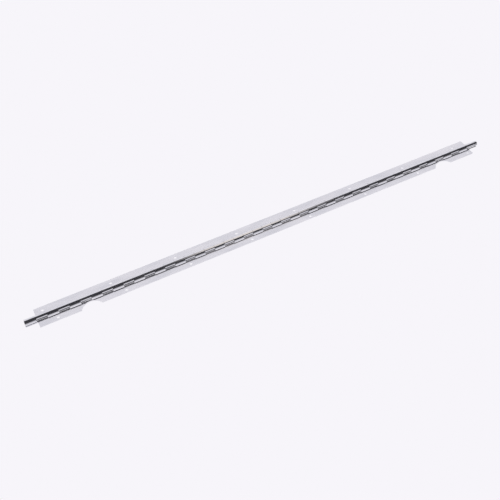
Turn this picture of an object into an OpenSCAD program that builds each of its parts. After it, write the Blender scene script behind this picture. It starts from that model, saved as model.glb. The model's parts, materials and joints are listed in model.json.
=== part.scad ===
// Piano hinge: two rolled sheet leaves, one long pin and a collar, lying open and flat.
// +X runs along the pin, +Z is up on the barrel side, the front leaf points to -Y.
// The origin is under the pin's axis, halfway along the barrel, on the leaves' undersides.

/* [Barrel] */
// Length of barrel that one knuckle takes
knuckle_pitch = 25.4; // [18:0.1:40]
// Number of full knuckles, the front leaf's and the back leaf's in turn
knuckle_count = 48; // [12:2:72]
// Free space between neighbouring knuckles
knuckle_gap = 0.4; // [0.2:0.05:1]
// Free space between a knuckle's rolled end and its own leaf
seam_gap = 0.2; // [0.1:0.05:0.5]
// Degrees past its top at which a knuckle's roll turns flatter
curl_turn = 37; // [25:1:45]
// Radius of that flatter last part, which comes down to its own leaf
curl_tail_r = 16; // [14:0.5:26]
// Length of the collar beyond the last knuckle
collar_length = 9.2; // [4:0.1:20]

/* [Pin] */
// Diameter of the pin
pin_d = 6.35; // [4:0.05:9]
// Running clearance between the pin and a knuckle, on the radius
pin_clearance = 0.07; // [0.03:0.01:0.1]
// Chamfer at each end of the pin
pin_chamfer = 0.8; // [0.2:0.1:1.5]

/* [Leaves] */
// Thickness of the sheet
leaf_t = 3.2; // [1.5:0.1:4]
// Front leaf, from the pin's axis to its outer edge
front_leaf_w = 23.6; // [22:0.1:40]
// Back leaf, from the pin's axis to its outer edge
back_leaf_w = 27.2; // [22:0.1:40]
// Both leaves stop this far short of the barrel's ends
end_cutback = 27; // [20:0.5:45]
// Free space between a leaf's slots and the other leaf's knuckles
slot_clearance = 0.6; // [0.3:0.1:1.2]
// Width of the strip that carries the front leaf's first knuckle, from the pin's axis
front_strip_w = 9.5; // [9:0.1:22]
// Width of the strip that carries the back leaf's last knuckle, from the pin's axis
back_strip_w = 12; // [9:0.1:22]

/* [Screw holes] */
// Diameter of the screw holes
hole_d = 7; // [3:0.1:9]
// Distance from hole to hole along the hinge
hole_spacing = 160; // [60:0.5:400]
// Each row has as many holes as fit with their centres at least this far from a leaf's ends
hole_end_margin = 10.5; // [6:0.1:100]
// Distance from the pin's axis to each row of holes
hole_offset = 17; // [12:0.1:19]
// How far the back row's centre lies from the middle of the barrel
back_row_shift = -9.4; // [-15:0.1:15]
// The front row lies this much further along than the back row
front_row_step = 25.4; // [0:0.1:30]

/* [Notches] */
// Radius of the round notches in the front leaf's outer edge
notch_r = 27; // [15:0.5:30]
// Sheet left between the bottom of a notch and the slots for the back leaf's knuckles
notch_web = 1.6; // [1:0.1:6]
// How far the left notch lies from the middle between the first two holes
left_notch_shift = -4; // [-30:0.5:30]
// How far the right notch lies from the middle between the last two holes
right_notch_shift = -4; // [-30:0.5:30]

/* [Hidden] */
$fn = 96;
bore_r = pin_d / 2 + pin_clearance;
barrel_r = bore_r + leaf_t;
last_knuckle_end = knuckle_count * knuckle_pitch;
barrel_length = last_knuckle_end + knuckle_gap / 2 + collar_length;
leaf_length = barrel_length - 2 * end_cutback;
slot_y = barrel_r + slot_clearance;
tail_shift = curl_tail_r - barrel_r; // from the pin's axis to the flatter part's centre
// The flatter part ends where its inner corner is seam_gap above the sheet
curl_end = acos((leaf_t + seam_gap - barrel_r + tail_shift * cos(curl_turn)) / (curl_tail_r - leaf_t));
round_end = curl_turn + 6; // the round part reaches this far, in degrees, to join the flatter one
over = 1; // how far one solid reaches into another that it joins or cuts
front_row_shift = back_row_shift + front_row_step;
// Both rows have the same number of holes, and the one further off centre sets it
row_room = leaf_length - 2 * (hole_end_margin + max(abs(back_row_shift), abs(front_row_shift)));
hole_count = 1 + floor(row_room / hole_spacing);
row_half = (hole_count - 1) / 2 * hole_spacing;
end_pair_middle = row_half - hole_spacing / 2; // from a row's centre to between its end holes

// A flat outline in the plane across the hinge, drawn out from x = from to x = to
module across(from, to) {
    translate([from, 0, barrel_r]) rotate([90, 0, 90]) linear_extrude(height = to - from) children();
}

// One knuckle rolled from the end of its tab, for a leaf on the +Y side: the sheet comes
// in flat under the barrel, turns up round the far side and over the top, and comes down
// in a flatter curve that stops just above its own leaf
module rolled_knuckle(from, to, tab_w) {
    across(from, to) {
        difference() {
            circle(r = barrel_r);
            circle(r = bore_r);
            polygon([
                [0, 0],
                2 * barrel_r * [sin(round_end), cos(round_end)],
                2 * barrel_r * [1.5, 0],
                2 * barrel_r * [1, -1],
                2 * barrel_r * [0, -1]
            ]);
        }
        translate(-tail_shift * [sin(curl_turn), cos(curl_turn)]) intersection() {
            difference() {
                circle(r = curl_tail_r);
                circle(r = curl_tail_r - leaf_t);
            }
            polygon([
                [0, 0],
                2 * curl_tail_r * [sin(curl_turn), cos(curl_turn)],
                2 * curl_tail_r * [sin(curl_end), cos(curl_end)]
            ]);
        }
        translate([0, -barrel_r]) square([tab_w, leaf_t]);
    }
}

// Every second knuckle along the barrel, counted from first, on tabs as deep as the slots
module knuckle_row(first) {
    for (k = [first : 2 : knuckle_count])
        rolled_knuckle(
            k == 1 ? 0 : (k - 1) * knuckle_pitch + knuckle_gap / 2,
            k * knuckle_pitch - knuckle_gap / 2,
            slot_y + over
        );
}

// A flat stretch of sheet from y_in to y_out beside the barrel
module sheet(from, to, y_in, y_out) {
    translate([from, y_in, 0]) cube([to - from, y_out - y_in, leaf_t]);
}

// One row of screw holes, centred shift away from the middle of the barrel
module screw_holes(shift) {
    for (i = [0 : hole_count - 1])
        translate([barrel_length / 2 + shift - row_half + i * hole_spacing, hole_offset, -over])
            cylinder(d = hole_d, h = leaf_t + 2 * over);
}

// A round notch in the front leaf's edge, that far from the middle of the front row of holes
module notch(from_row_centre) {
    translate([
        barrel_length / 2 + front_row_shift + from_row_centre,
        slot_y + notch_web + notch_r,
        -over
    ])
        cylinder(r = notch_r, h = leaf_t + 2 * over);
}

// Moves what is measured from the barrel's left end so that the origin is at mid-length
module from_left_end() {
    translate([-barrel_length / 2, 0, 0]) children();
}

module back_leaf() {
    color("lightgray") from_left_end() difference() {
        union() {
            sheet(end_cutback, barrel_length - end_cutback, slot_y, back_leaf_w);
            sheet(
                barrel_length - end_cutback - over, last_knuckle_end - knuckle_gap / 2,
                slot_y, back_strip_w
            );
            knuckle_row(2);
        }
        screw_holes(back_row_shift);
    }
}

module front_leaf() {
    color("silver") mirror([0, 1, 0]) from_left_end() difference() {
        union() {
            sheet(end_cutback, barrel_length - end_cutback, slot_y, front_leaf_w);
            sheet(0, end_cutback + over, slot_y, front_strip_w);
            knuckle_row(1);
        }
        screw_holes(front_row_shift);
        notch(left_notch_shift - end_pair_middle);
        notch(right_notch_shift + end_pair_middle);
    }
}

// The pin runs the whole length of the barrel, with a chamfer at each end
module hinge_pin() {
    color("gainsboro") from_left_end() translate([0, 0, barrel_r]) rotate([0, 90, 0])
        rotate_extrude() polygon([
            [0, 0],
            [pin_d / 2 - pin_chamfer, 0],
            [pin_d / 2, pin_chamfer],
            [pin_d / 2, barrel_length - pin_chamfer],
            [pin_d / 2 - pin_chamfer, barrel_length],
            [0, barrel_length]
        ]);
}

// A plain ring as thick as the barrel, pressed on the pin's right-hand end
module end_collar() {
    color("silver") from_left_end() across(last_knuckle_end + knuckle_gap / 2, barrel_length)
        difference() {
            circle(r = barrel_r);
            circle(d = pin_d);
        }
}

back_leaf();
front_leaf();
hinge_pin();
end_collar();
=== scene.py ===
import json
import math

import bmesh
import bpy
import numpy as np
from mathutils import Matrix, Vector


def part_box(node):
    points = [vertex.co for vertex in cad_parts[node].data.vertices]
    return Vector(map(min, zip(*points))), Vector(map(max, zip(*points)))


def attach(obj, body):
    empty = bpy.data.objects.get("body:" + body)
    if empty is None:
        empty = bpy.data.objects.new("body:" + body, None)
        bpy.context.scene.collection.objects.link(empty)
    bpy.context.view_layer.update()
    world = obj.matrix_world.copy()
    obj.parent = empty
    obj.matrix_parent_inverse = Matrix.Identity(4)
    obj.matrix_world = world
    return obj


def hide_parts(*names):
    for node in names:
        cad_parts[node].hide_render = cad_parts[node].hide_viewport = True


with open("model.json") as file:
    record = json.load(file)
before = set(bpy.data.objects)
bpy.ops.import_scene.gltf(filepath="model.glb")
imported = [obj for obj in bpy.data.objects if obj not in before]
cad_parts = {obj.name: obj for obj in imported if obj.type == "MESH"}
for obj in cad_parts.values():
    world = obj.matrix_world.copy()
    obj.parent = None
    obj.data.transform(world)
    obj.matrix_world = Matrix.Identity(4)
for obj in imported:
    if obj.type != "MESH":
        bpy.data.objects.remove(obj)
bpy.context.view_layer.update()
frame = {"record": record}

# ---------------------------------------------------------------------------------------
# The two leaves. Each is one strip of 3.2 mm steel sheet, stamped with a row of tabs, and
# every tab is rolled round the pin into a knuckle. The front leaf has the odd knuckles, the
# back leaf the even ones. The sheet is satin, and the rolled barrel is polished.
# ---------------------------------------------------------------------------------------
MM = 0.001
KNUCKLES = 48
KNUCKLE_GAP = 0.4 * MM
SEAM_GAP = 0.2 * MM
SLOT_CLEARANCE = 0.6 * MM
EDGE_ROUND = 0.5 * MM          # the tumbled edge that stamping and deburring leave
FRONT_STRIP = 9.5 * MM         # the narrow strip beside the first knuckle
BACK_STRIP = 12 * MM           # the narrow strip beside the last knuckle
NOTCH_R = 27 * MM
NOTCH_WEB = 1.6 * MM
CURL_TURN = math.radians(37)   # how far past its top a roll stays round
TAIL_R = 16 * MM               # the radius of its flatter last part
HOLE_RING = 1 * MM             # the width of the mesh ring that is kept round each hole

record = frame["record"]
barrel_left, barrel_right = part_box("hinge_pin")[0].x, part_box("hinge_pin")[1].x
collar_left, barrel_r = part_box("end_collar")[0].x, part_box("end_collar")[1].z / 2
pin_r = (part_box("hinge_pin")[1].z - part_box("hinge_pin")[0].z) / 2
leaf_edge = {"back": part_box("back_leaf")[1].y, "front": -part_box("front_leaf")[0].y}
pitch = (collar_left - KNUCKLE_GAP / 2 - barrel_left) / KNUCKLES
rooms = {room["name"]: room["box_m"] for room in record["physics"]["openings"]}
sheet_left, sheet_right = (rooms["back_screw_head_room"][end][0] for end in (0, 1))
hole_mounts = [m for m in record["mounts"] if m["kind"] == "bolt_pattern"]
leaf_t = hole_mounts[0]["pos_m"][2]
hole_r = hole_mounts[0]["dims"]["hole_r_mm"] * MM
hole_row = abs(hole_mounts[0]["pos_m"][1])
slot_line = barrel_r + SLOT_CLEARANCE
# The flatter part ends where its inner corner is SEAM_GAP above the sheet
tail_drop = barrel_r - leaf_t - SEAM_GAP
curl_end = math.acos(
    ((TAIL_R - barrel_r) * math.cos(CURL_TURN) - tail_drop) / (TAIL_R - leaf_t)
)


def hole_centres(leaf):
    """Where the screw holes of a leaf lie along X: each mount names two of them, half its
    spacing to either side of its own place."""
    mounts = [m for m in hole_mounts if m["name"].startswith(leaf)]
    middle = np.array([m["pos_m"][0] for m in mounts])
    half = np.array([m["dims"]["spacing_x_mm"] for m in mounts]) * MM / 2
    return np.sort(np.concatenate([middle - half, middle + half]))


def knuckle_ends(leaf):
    """The left and right end of each knuckle of a leaf, as two arrays."""
    number = np.arange(1 if leaf == "front" else 2, KNUCKLES + 1, 2)
    left = barrel_left + (number - 1) * pitch + KNUCKLE_GAP / 2
    left[number == 1] = barrel_left
    return left, barrel_left + number * pitch - KNUCKLE_GAP / 2


def roll_up(x, along, side):
    """The outside of a leaf at `along` metres from the line under the axis, on the +Y side
    for side 1. Beyond that line the sheet turns about the axis by along / barrel_r, until it
    is CURL_TURN past the top, and from there by the rest / TAIL_R about its own centre."""
    last_turn = math.pi + CURL_TURN
    turn = np.clip(-along / barrel_r, 0, last_turn)
    y = np.where(along > 0, along, -barrel_r * np.sin(turn))
    z = barrel_r - barrel_r * np.cos(turn)
    tail = last_turn + np.maximum(-along - last_turn * barrel_r, 0) / TAIL_R
    y -= TAIL_R * (np.sin(tail) - math.sin(last_turn))
    z -= TAIL_R * (np.cos(tail) - math.cos(last_turn))
    return np.stack([x, side * y, z], -1)


def leaf_blank(leaf):
    """The stamped blank as a grid of columns across and rows along the sheet. A cell is metal
    where its centre lies in the wide sheet, in the end strip or in a tab, and outside the
    square round each hole; that square is a ring from the circle out to its own sides."""
    tab_left, tab_right = knuckle_ends(leaf)
    holes = hole_centres(leaf)
    edge = leaf_edge[leaf]
    strip = FRONT_STRIP if leaf == "front" else BACK_STRIP
    strip_from = barrel_left if leaf == "front" else sheet_right
    strip_to = sheet_left if leaf == "front" else tab_right[-1]

    square = hole_r + HOLE_RING
    steps = np.linspace(-1, 1, 9)
    notch_depth = slot_line + NOTCH_WEB + NOTCH_R
    notch_half = math.sqrt(NOTCH_R**2 - (notch_depth - edge) ** 2) if leaf == "front" else 0
    notches = [
        (rooms[name][0][0] + rooms[name][1][0]) / 2 for name in ("left_notch", "right_notch")
    ] if leaf == "front" else []
    fan = np.linspace(-1, 1, 41) * math.asin(notch_half / NOTCH_R)
    columns = np.concatenate(
        [tab_left, tab_right, [sheet_left, sheet_right]]
        + [tab_left + (tab_right - tab_left) * part for part in (0.02, 0.25, 0.5, 0.75, 0.98)]
        + [hole + steps * square for hole in holes]
        + [notch + NOTCH_R * np.sin(fan) for notch in notches]
    )
    columns = np.unique(np.round(columns, 6))
    rows = np.concatenate([
        -barrel_r * np.linspace(math.pi + CURL_TURN, 0, 61),
        -barrel_r * (math.pi + CURL_TURN)
        - TAIL_R * (curl_end - CURL_TURN) * np.linspace(0, 1, 13)[1:],
        [barrel_r * 0.5, slot_line, strip, edge, (hole_row + square + edge) / 2],
        hole_row + steps * square,
    ])
    rows = np.unique(np.round(rows, 7))

    mid_x = (columns[1:] + columns[:-1])[:, None] / 2
    mid_s = (rows[1:] + rows[:-1])[None, :] / 2
    in_tab = ((mid_x > tab_left[:, None, None]) & (mid_x < tab_right[:, None, None])).any(0)
    wide = (mid_x > sheet_left) & (mid_x < sheet_right) & (mid_s > slot_line)
    narrow = (mid_x > strip_from) & (mid_x < strip_to) & (mid_s > slot_line) & (mid_s < strip)
    metal = wide | narrow | (in_tab & (mid_s < slot_line))
    in_square = (abs(mid_x - holes[:, None, None]) < square).any(0)
    metal &= ~(in_square & (abs(mid_s - hole_row) < square))

    x, s = np.meshgrid(columns, rows, indexing="ij")
    for notch in notches:
        off = np.minimum(abs(x - notch), NOTCH_R)
        cut = np.minimum(notch_depth - np.sqrt(NOTCH_R**2 - off**2), edge)
        pressed = slot_line + (s - slot_line) * (cut - slot_line) / (edge - slot_line)
        s = np.where((off < notch_half) & (s > slot_line), pressed, s)
    index = np.arange(x.size).reshape(x.shape)
    cells = np.stack([index[:-1, :-1], index[1:, :-1], index[1:, 1:], index[:-1, 1:]], -1)
    points = [np.stack([x, s], -1).reshape(-1, 2)]
    faces = [cells[metal]]

    side_walk = np.linspace(-1, 1, 9)[:-1]
    ones = np.ones(8)
    frame_x = np.concatenate([side_walk, ones, -side_walk, -ones])
    frame_s = np.concatenate([-ones, side_walk, ones, -side_walk])
    angle = np.arctan2(frame_s, frame_x)
    for hole in holes:
        inner = np.stack([np.cos(angle), np.sin(angle)], -1) * hole_r
        outer = np.stack([frame_x, frame_s], -1) * square
        ring = np.concatenate([inner, (inner + outer) / 2, outer]) + [hole, hole_row]
        start = sum(len(p) for p in points)
        this = np.arange(32)
        nxt = (this + 1) % 32
        points.append(ring)
        for lap in (0, 32):
            faces.append(start + lap + np.stack([this, this + 32, nxt + 32, nxt], -1))
    return np.concatenate(points), np.concatenate(faces)


def mesh_from(name, points, faces):
    """A mesh of those points and four-cornered faces, with doubles merged, loose points gone
    and its faces smooth."""
    mesh = bpy.data.meshes.new(name)
    mesh.vertices.add(len(points))
    mesh.vertices.foreach_set("co", points.astype(np.float32).ravel())
    mesh.loops.add(faces.size)
    mesh.loops.foreach_set("vertex_index", faces.astype(np.int32).ravel())
    mesh.polygons.add(len(faces))
    starts = np.arange(0, faces.size, faces.shape[1], dtype=np.int32)
    mesh.polygons.foreach_set("loop_start", starts)
    mesh.update(calc_edges=True)
    work = bmesh.new()
    work.from_mesh(mesh)
    bmesh.ops.delete(work, geom=[v for v in work.verts if not v.link_faces], context="VERTS")
    bmesh.ops.remove_doubles(work, verts=work.verts, dist=2e-6)
    work.to_mesh(mesh)
    work.free()
    mesh.polygons.foreach_set("use_smooth", np.ones(len(mesh.polygons), bool))
    return mesh


def node_tree(name):
    """A new material, with short ways to add a node and to link two sockets."""
    material = bpy.data.materials.new(name)
    material.use_nodes = True
    tree = material.node_tree

    def add(kind, **settings):
        node = tree.nodes.new(kind)
        for key, value in settings.items():
            setattr(node, key, value)
        return node

    return material, add, tree.links.new, tree.nodes["Principled BSDF"]


def leaf_steel(name, seed_shift):
    """Rolled steel sheet. Its colour drifts in long clouds and its gloss in fine drawn lines
    along the strip. On the outside of the roll, above the sheet, the tabs are polished, so there
    the roughness falls."""
    material, add, link, shader = node_tree(name)
    shader.inputs["Metallic"].default_value = 0.9
    place = add("ShaderNodeTexCoord")
    from_axis = add("ShaderNodeMapping")
    from_axis.inputs["Location"].default_value = (0, 0, -barrel_r)
    from_axis.inputs["Scale"].default_value = (0, 1, 1)
    link(place.outputs["Object"], from_axis.inputs["Vector"])
    reach = add("ShaderNodeVectorMath", operation="LENGTH")
    link(from_axis.outputs[0], reach.inputs[0])
    split = add("ShaderNodeSeparateXYZ")
    link(place.outputs["Object"], split.inputs[0])
    outer = add("ShaderNodeMapRange", interpolation_type="SMOOTHSTEP")
    outer.inputs["From Min"].default_value = barrel_r - 0.6 * MM
    outer.inputs["From Max"].default_value = barrel_r - 0.3 * MM
    link(reach.outputs["Value"], outer.inputs["Value"])
    high = add("ShaderNodeMapRange", interpolation_type="SMOOTHSTEP")
    high.inputs["From Min"].default_value = leaf_t + 0.2 * MM
    high.inputs["From Max"].default_value = leaf_t + 0.8 * MM
    link(split.outputs["Z"], high.inputs["Value"])
    polish = add("ShaderNodeMath", operation="MULTIPLY")
    link(outer.outputs["Result"], polish.inputs[0])
    link(high.outputs["Result"], polish.inputs[1])

    clouds = add("ShaderNodeMapping")
    clouds.inputs["Location"].default_value = (seed_shift, 0, 0)
    clouds.inputs["Scale"].default_value = (14, 60, 60)
    link(place.outputs["Object"], clouds.inputs["Vector"])
    drift = add("ShaderNodeTexNoise")
    drift.inputs["Scale"].default_value = 1.0
    drift.inputs["Detail"].default_value = 4.0
    link(clouds.outputs[0], drift.inputs["Vector"])
    tone = add("ShaderNodeValToRGB")
    tone.color_ramp.elements[0].position = 0.3
    tone.color_ramp.elements[0].color = (0.62, 0.62, 0.66, 1)
    tone.color_ramp.elements[1].position = 0.7
    tone.color_ramp.elements[1].color = (0.72, 0.71, 0.74, 1)
    link(drift.outputs["Fac"], tone.inputs["Fac"])
    link(tone.outputs["Color"], shader.inputs["Base Color"])

    drawn = add("ShaderNodeMapping")
    drawn.inputs["Location"].default_value = (0, seed_shift, 0)
    drawn.inputs["Scale"].default_value = (90, 9000, 9000)
    link(place.outputs["Object"], drawn.inputs["Vector"])
    lines = add("ShaderNodeTexNoise")
    lines.inputs["Scale"].default_value = 1.0
    lines.inputs["Detail"].default_value = 3.0
    link(drawn.outputs[0], lines.inputs["Vector"])
    satin = add("ShaderNodeMapRange")
    satin.inputs["To Min"].default_value = 0.13
    satin.inputs["To Max"].default_value = 0.22
    link(lines.outputs["Fac"], satin.inputs["Value"])
    gloss = add("ShaderNodeMapRange")
    gloss.inputs["To Min"].default_value = 0.05
    gloss.inputs["To Max"].default_value = 0.13
    link(drift.outputs["Fac"], gloss.inputs["Value"])
    finish = add("ShaderNodeMix", data_type="FLOAT")
    link(polish.outputs[0], finish.inputs["Factor"])
    link(satin.outputs["Result"], finish.inputs["A"])
    link(gloss.outputs["Result"], finish.inputs["B"])
    link(finish.outputs["Result"], shader.inputs["Roughness"])

    grain = add("ShaderNodeBump")
    grain.inputs["Strength"].default_value = 0.12
    grain.inputs["Distance"].default_value = 0.02 * MM
    link(lines.outputs["Fac"], grain.inputs["Height"])
    link(grain.outputs["Normal"], shader.inputs["Normal"])
    return material


def make_leaf(leaf, seed_shift):
    """A leaf: its blank rolled up, given the sheet's thickness inwards, and its edges rounded.
    The seed shift moves its clouds and drawn lines, so that the two leaves differ."""
    flat, faces = leaf_blank(leaf)
    side = 1 if leaf == "back" else -1
    points = roll_up(flat[:, 0], flat[:, 1], side)
    if side > 0:
        faces = faces[:, ::-1]
    sheet = bpy.data.objects.new(f"{leaf}_leaf_rolled_sheet", mesh_from(leaf, points, faces))
    bpy.context.scene.collection.objects.link(sheet)
    sheet.data.materials.append(leaf_steel(f"{leaf}_leaf_steel", seed_shift))
    wall = sheet.modifiers.new("sheet_thickness", "SOLIDIFY")
    wall.thickness = leaf_t
    wall.offset = -1
    wall.use_even_offset = True
    rounded = sheet.modifiers.new("deburred_edges", "BEVEL")
    rounded.width = EDGE_ROUND
    rounded.segments = 3
    rounded.limit_method = "ANGLE"
    rounded.angle_limit = math.radians(50)
    rounded.harden_normals = True
    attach(sheet, leaf)
    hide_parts(f"{leaf}_leaf")


make_leaf("back", 3.1)
make_leaf("front", 7.7)


# ---------------------------------------------------------------------------------------
# The pin: one straight drawn steel rod through all the knuckles, chamfered at both ends. It
# shows at the barrel's ends and as a dark line in the gaps between the knuckles.
# ---------------------------------------------------------------------------------------
PIN_CHAMFER = 0.8 * MM
PIN_END_ROUND = 0.15 * MM      # how far the chamfer's corners are worn round


def lathe(name, profile, around=96):
    """A turned piece on the pin's axis: each point of the profile is a distance along X and a
    radius, carried round the axis. A profile that ends at radius nought closes in a pole."""
    angle = np.linspace(0, 2 * math.pi, around, endpoint=False)[None, :]
    x = np.repeat(profile[:, :1], around, 1)
    points = np.stack(
        [x, profile[:, 1:] * np.cos(angle), barrel_r + profile[:, 1:] * np.sin(angle)], -1
    )
    index = np.arange(x.size).reshape(x.shape)
    turn = np.roll(index, -1, 1)
    faces = np.stack([index[:-1], turn[:-1], turn[1:], index[1:]], -1).reshape(-1, 4)
    mesh = mesh_from(name, points.reshape(-1, 3), faces)
    work = bmesh.new()
    work.from_mesh(mesh)
    bmesh.ops.recalc_face_normals(work, faces=work.faces)
    work.to_mesh(mesh)
    work.free()
    turned = bpy.data.objects.new(name, mesh)
    bpy.context.scene.collection.objects.link(turned)
    return turned


def turned_steel(name, low, high):
    """Drawn or turned round bar: fine rings round the axis in the roughness and the bump, and a
    faint drift of colour along it."""
    material, add, link, shader = node_tree(name)
    shader.inputs["Metallic"].default_value = 1.0
    place = add("ShaderNodeTexCoord")
    rings = add("ShaderNodeMapping")
    rings.inputs["Scale"].default_value = (4000, 120, 120)
    link(place.outputs["Object"], rings.inputs["Vector"])
    lines = add("ShaderNodeTexNoise")
    lines.inputs["Scale"].default_value = 1.0
    lines.inputs["Detail"].default_value = 3.0
    link(rings.outputs[0], lines.inputs["Vector"])
    tone = add("ShaderNodeValToRGB")
    tone.color_ramp.elements[0].color = (0.50, 0.50, 0.53, 1)
    tone.color_ramp.elements[1].color = (0.66, 0.66, 0.68, 1)
    link(lines.outputs["Fac"], tone.inputs["Fac"])
    link(tone.outputs["Color"], shader.inputs["Base Color"])
    gloss = add("ShaderNodeMapRange")
    gloss.inputs["To Min"].default_value = low
    gloss.inputs["To Max"].default_value = high
    link(lines.outputs["Fac"], gloss.inputs["Value"])
    link(gloss.outputs["Result"], shader.inputs["Roughness"])
    grain = add("ShaderNodeBump")
    grain.inputs["Strength"].default_value = 0.15
    grain.inputs["Distance"].default_value = 0.01 * MM
    link(lines.outputs["Fac"], grain.inputs["Height"])
    link(grain.outputs["Normal"], shader.inputs["Normal"])
    return material


pin_profile = np.array([
    [barrel_left, 0],
    [barrel_left, pin_r - PIN_CHAMFER - PIN_END_ROUND],
    [barrel_left + 0.04 * MM, pin_r - PIN_CHAMFER],
    [barrel_left + PIN_CHAMFER - PIN_END_ROUND, pin_r - PIN_END_ROUND],
    [barrel_left + PIN_CHAMFER, pin_r],
    [barrel_right - PIN_CHAMFER, pin_r],
    [barrel_right - PIN_CHAMFER + PIN_END_ROUND, pin_r - PIN_END_ROUND],
    [barrel_right - 0.04 * MM, pin_r - PIN_CHAMFER],
    [barrel_right, pin_r - PIN_CHAMFER - PIN_END_ROUND],
    [barrel_right, 0],
])
pin = lathe("hinge_pin_rod", pin_profile)
pin.data.materials.append(turned_steel("pin_steel", 0.12, 0.3))
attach(pin, "back")
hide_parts("hinge_pin")


# ---------------------------------------------------------------------------------------
# The end collar: a short turned ring as thick as the barrel, pressed on the pin beyond the
# last knuckle. Its outer corners are rounded.
# ---------------------------------------------------------------------------------------
COLLAR_ROUND = 0.6 * MM

# A quarter circle at each outer corner, as how far it lies in from the end and from the outside
corner = np.linspace(0, math.pi / 2, 6)
inward = COLLAR_ROUND * (1 - np.sin(corner))
downward = COLLAR_ROUND * (1 - np.cos(corner))
left_corner = np.stack([collar_left + inward, barrel_r - downward], -1)[::-1]
right_corner = np.stack([barrel_right - inward, barrel_r - downward], -1)
collar_profile = np.concatenate([
    [[collar_left, pin_r]],
    left_corner,
    right_corner,
    [[barrel_right, pin_r], [collar_left, pin_r]],
])
collar = lathe("end_collar_ring", collar_profile)
collar.data.materials.append(turned_steel("collar_steel", 0.06, 0.16))
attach(collar, "back")
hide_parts("end_collar")


# ---------------------------------------------------------------------------------------
# The studio: a pale floor that glows evenly and takes no shadow, apart from a painted shadow,
# a soft dark line under the barrel where its glow falls away, and that mirrors don't show;
# and a white sky that gives all the light, with dark areas that the polished barrel shows as
# bands. The camera is above the front left.
# ---------------------------------------------------------------------------------------
scene = bpy.context.scene
scene.view_settings.view_transform = "Standard"

FLOOR_SIZE = 30
FLOOR_DROP = 0.5 * MM          # how far the floor lies under the hinge
# The painted shadow: a soft dark line painted on the floor under the barrel, standing in for its
# contact shadow
PAINTED_SHADOW_HALF = 4.2 * MM          # half the width of the dark line under the barrel
PAINTED_SHADOW_FADE = 2 * MM            # how softly it ends, across and along

bpy.ops.mesh.primitive_plane_add(size=FLOOR_SIZE, location=(0, 0, -FLOOR_DROP))
floor = bpy.context.object
floor.name = "studio_floor"
floor_paint, add, link, shader = node_tree("floor_light")
shader.inputs["Base Color"].default_value = (0, 0, 0, 1)
shader.inputs["Specular IOR Level"].default_value = 0.0
shader.inputs["Emission Color"].default_value = (0.930, 0.913, 0.956, 1)
place = add("ShaderNodeTexCoord")
apart = add("ShaderNodeSeparateXYZ")
link(place.outputs["Object"], apart.inputs[0])


def near(socket, full, none):
    """1 where that coordinate is less than `full` from nought, falling to 0 at `none`."""
    size = add("ShaderNodeMath", operation="ABSOLUTE")
    link(socket, size.inputs[0])
    fade = add("ShaderNodeMapRange", interpolation_type="SMOOTHSTEP")
    fade.inputs["From Min"].default_value = none
    fade.inputs["From Max"].default_value = full
    link(size.outputs[0], fade.inputs["Value"])
    return fade.outputs["Result"]


# Painted shadow: 1 in a soft strip under the barrel, where the floor's glow falls to 0.03
under = add("ShaderNodeMath", operation="MULTIPLY")
link(near(apart.outputs["Y"], PAINTED_SHADOW_HALF, PAINTED_SHADOW_HALF + PAINTED_SHADOW_FADE), under.inputs[0])
painted_shadow_end = barrel_right - PAINTED_SHADOW_FADE / 2
link(near(apart.outputs["X"], painted_shadow_end, painted_shadow_end + PAINTED_SHADOW_FADE), under.inputs[1])
glow = add("ShaderNodeMapRange")
glow.inputs["To Min"].default_value = 1.0
glow.inputs["To Max"].default_value = 0.03
link(under.outputs[0], glow.inputs["Value"])
link(glow.outputs["Result"], shader.inputs["Emission Strength"])
floor.data.materials.append(floor_paint)
floor.visible_glossy = False

world = bpy.data.worlds.new("studio_sky")
scene.world = world
world.use_nodes = True
tree = world.node_tree
sky = tree.nodes["Background"]
sky.inputs["Strength"].default_value = 1.0


def sky_math(operation, *values):
    """One Math node on those sockets or numbers, and its result."""
    node = tree.nodes.new("ShaderNodeMath")
    node.operation = operation
    for socket, value in zip(node.inputs, values):
        if isinstance(value, (int, float)):
            socket.default_value = value
        else:
            tree.links.new(value, socket)
    return node.outputs[0]


def step_up(angle, start, end):
    """0 below the start angle and 1 above the end angle, both in degrees, with a soft step."""
    node = tree.nodes.new("ShaderNodeMapRange")
    node.interpolation_type = "SMOOTHSTEP"
    node.inputs["From Min"].default_value = math.radians(start)
    node.inputs["From Max"].default_value = math.radians(end)
    tree.links.new(angle, node.inputs["Value"])
    return node.outputs["Result"]


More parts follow.
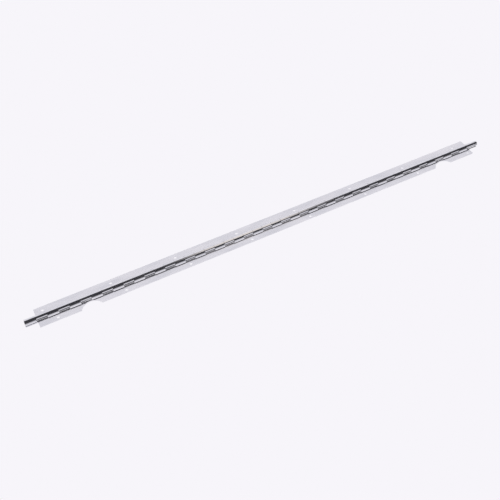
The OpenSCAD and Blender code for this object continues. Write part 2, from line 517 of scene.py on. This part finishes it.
direction = tree.nodes.new("ShaderNodeTexCoord").outputs["Generated"]
parts = tree.nodes.new("ShaderNodeSeparateXYZ")
tree.links.new(direction, parts.inputs[0])
# The lean of a direction from straight up towards the front, and its turn to the right
lean = sky_math("ARCTAN2", sky_math("MULTIPLY", parts.outputs["Y"], -1), parts.outputs["Z"])
turn = sky_math("ARCSINE", parts.outputs["X"])


def band(angle, start, full, fading, end):
    """1 between the angles full and fading, and 0 outside start and end."""
    return sky_math("SUBTRACT", step_up(angle, start, full), step_up(angle, fading, end))


# The dark overhead, with a warm lit window in it right of the middle; the dark before the
# hinge; a bright strip low in front, which stays clear; and a dark band of table below that
window = band(turn, 11.5, 14.3, 19, 25.5)
overhead = sky_math("MULTIPLY", band(lean, -30, -16, 26, 40), sky_math("SUBTRACT", 1.0, window))
before = band(lean, 26, 40, 54, 82)
table = sky_math(
    "MULTIPLY",
    band(lean, 94, 108, 116, 132),
    sky_math("SUBTRACT", 1.0, sky_math("MULTIPLY", window, 0.5)),
)
flags = sky_math("ADD", sky_math("ADD", overhead, before), table)
flags = sky_math("MULTIPLY", flags, band(turn, -70, -50, 50, 68))
warm = tree.nodes.new("ShaderNodeMix")
warm.data_type = "RGBA"
warm.inputs["A"].default_value = (1.08, 1.07, 1.11, 1)
warm.inputs["B"].default_value = (1.15, 1.07, 0.98, 1)
tree.links.new(sky_math("MULTIPLY", window, band(lean, -34, -18, 20, 40)), warm.inputs["Factor"])
shade = tree.nodes.new("ShaderNodeMix")
shade.data_type = "RGBA"
tree.links.new(warm.outputs["Result"], shade.inputs["A"])
shade.inputs["B"].default_value = (0.02, 0.02, 0.026, 1)
tree.links.new(flags, shade.inputs["Factor"])
tree.links.new(shade.outputs["Result"], sky.inputs["Color"])

lens = bpy.data.cameras.new("camera")
lens.lens = 53.73
lens.sensor_width = 36
lens.clip_end = 60
camera = bpy.data.objects.new("camera", lens)
camera.location = (-0.5996, -1.0269, 1.3597)
camera.rotation_euler = (math.radians(39.28), 0, math.radians(-27.66))
scene.collection.objects.link(camera)
scene.camera = camera
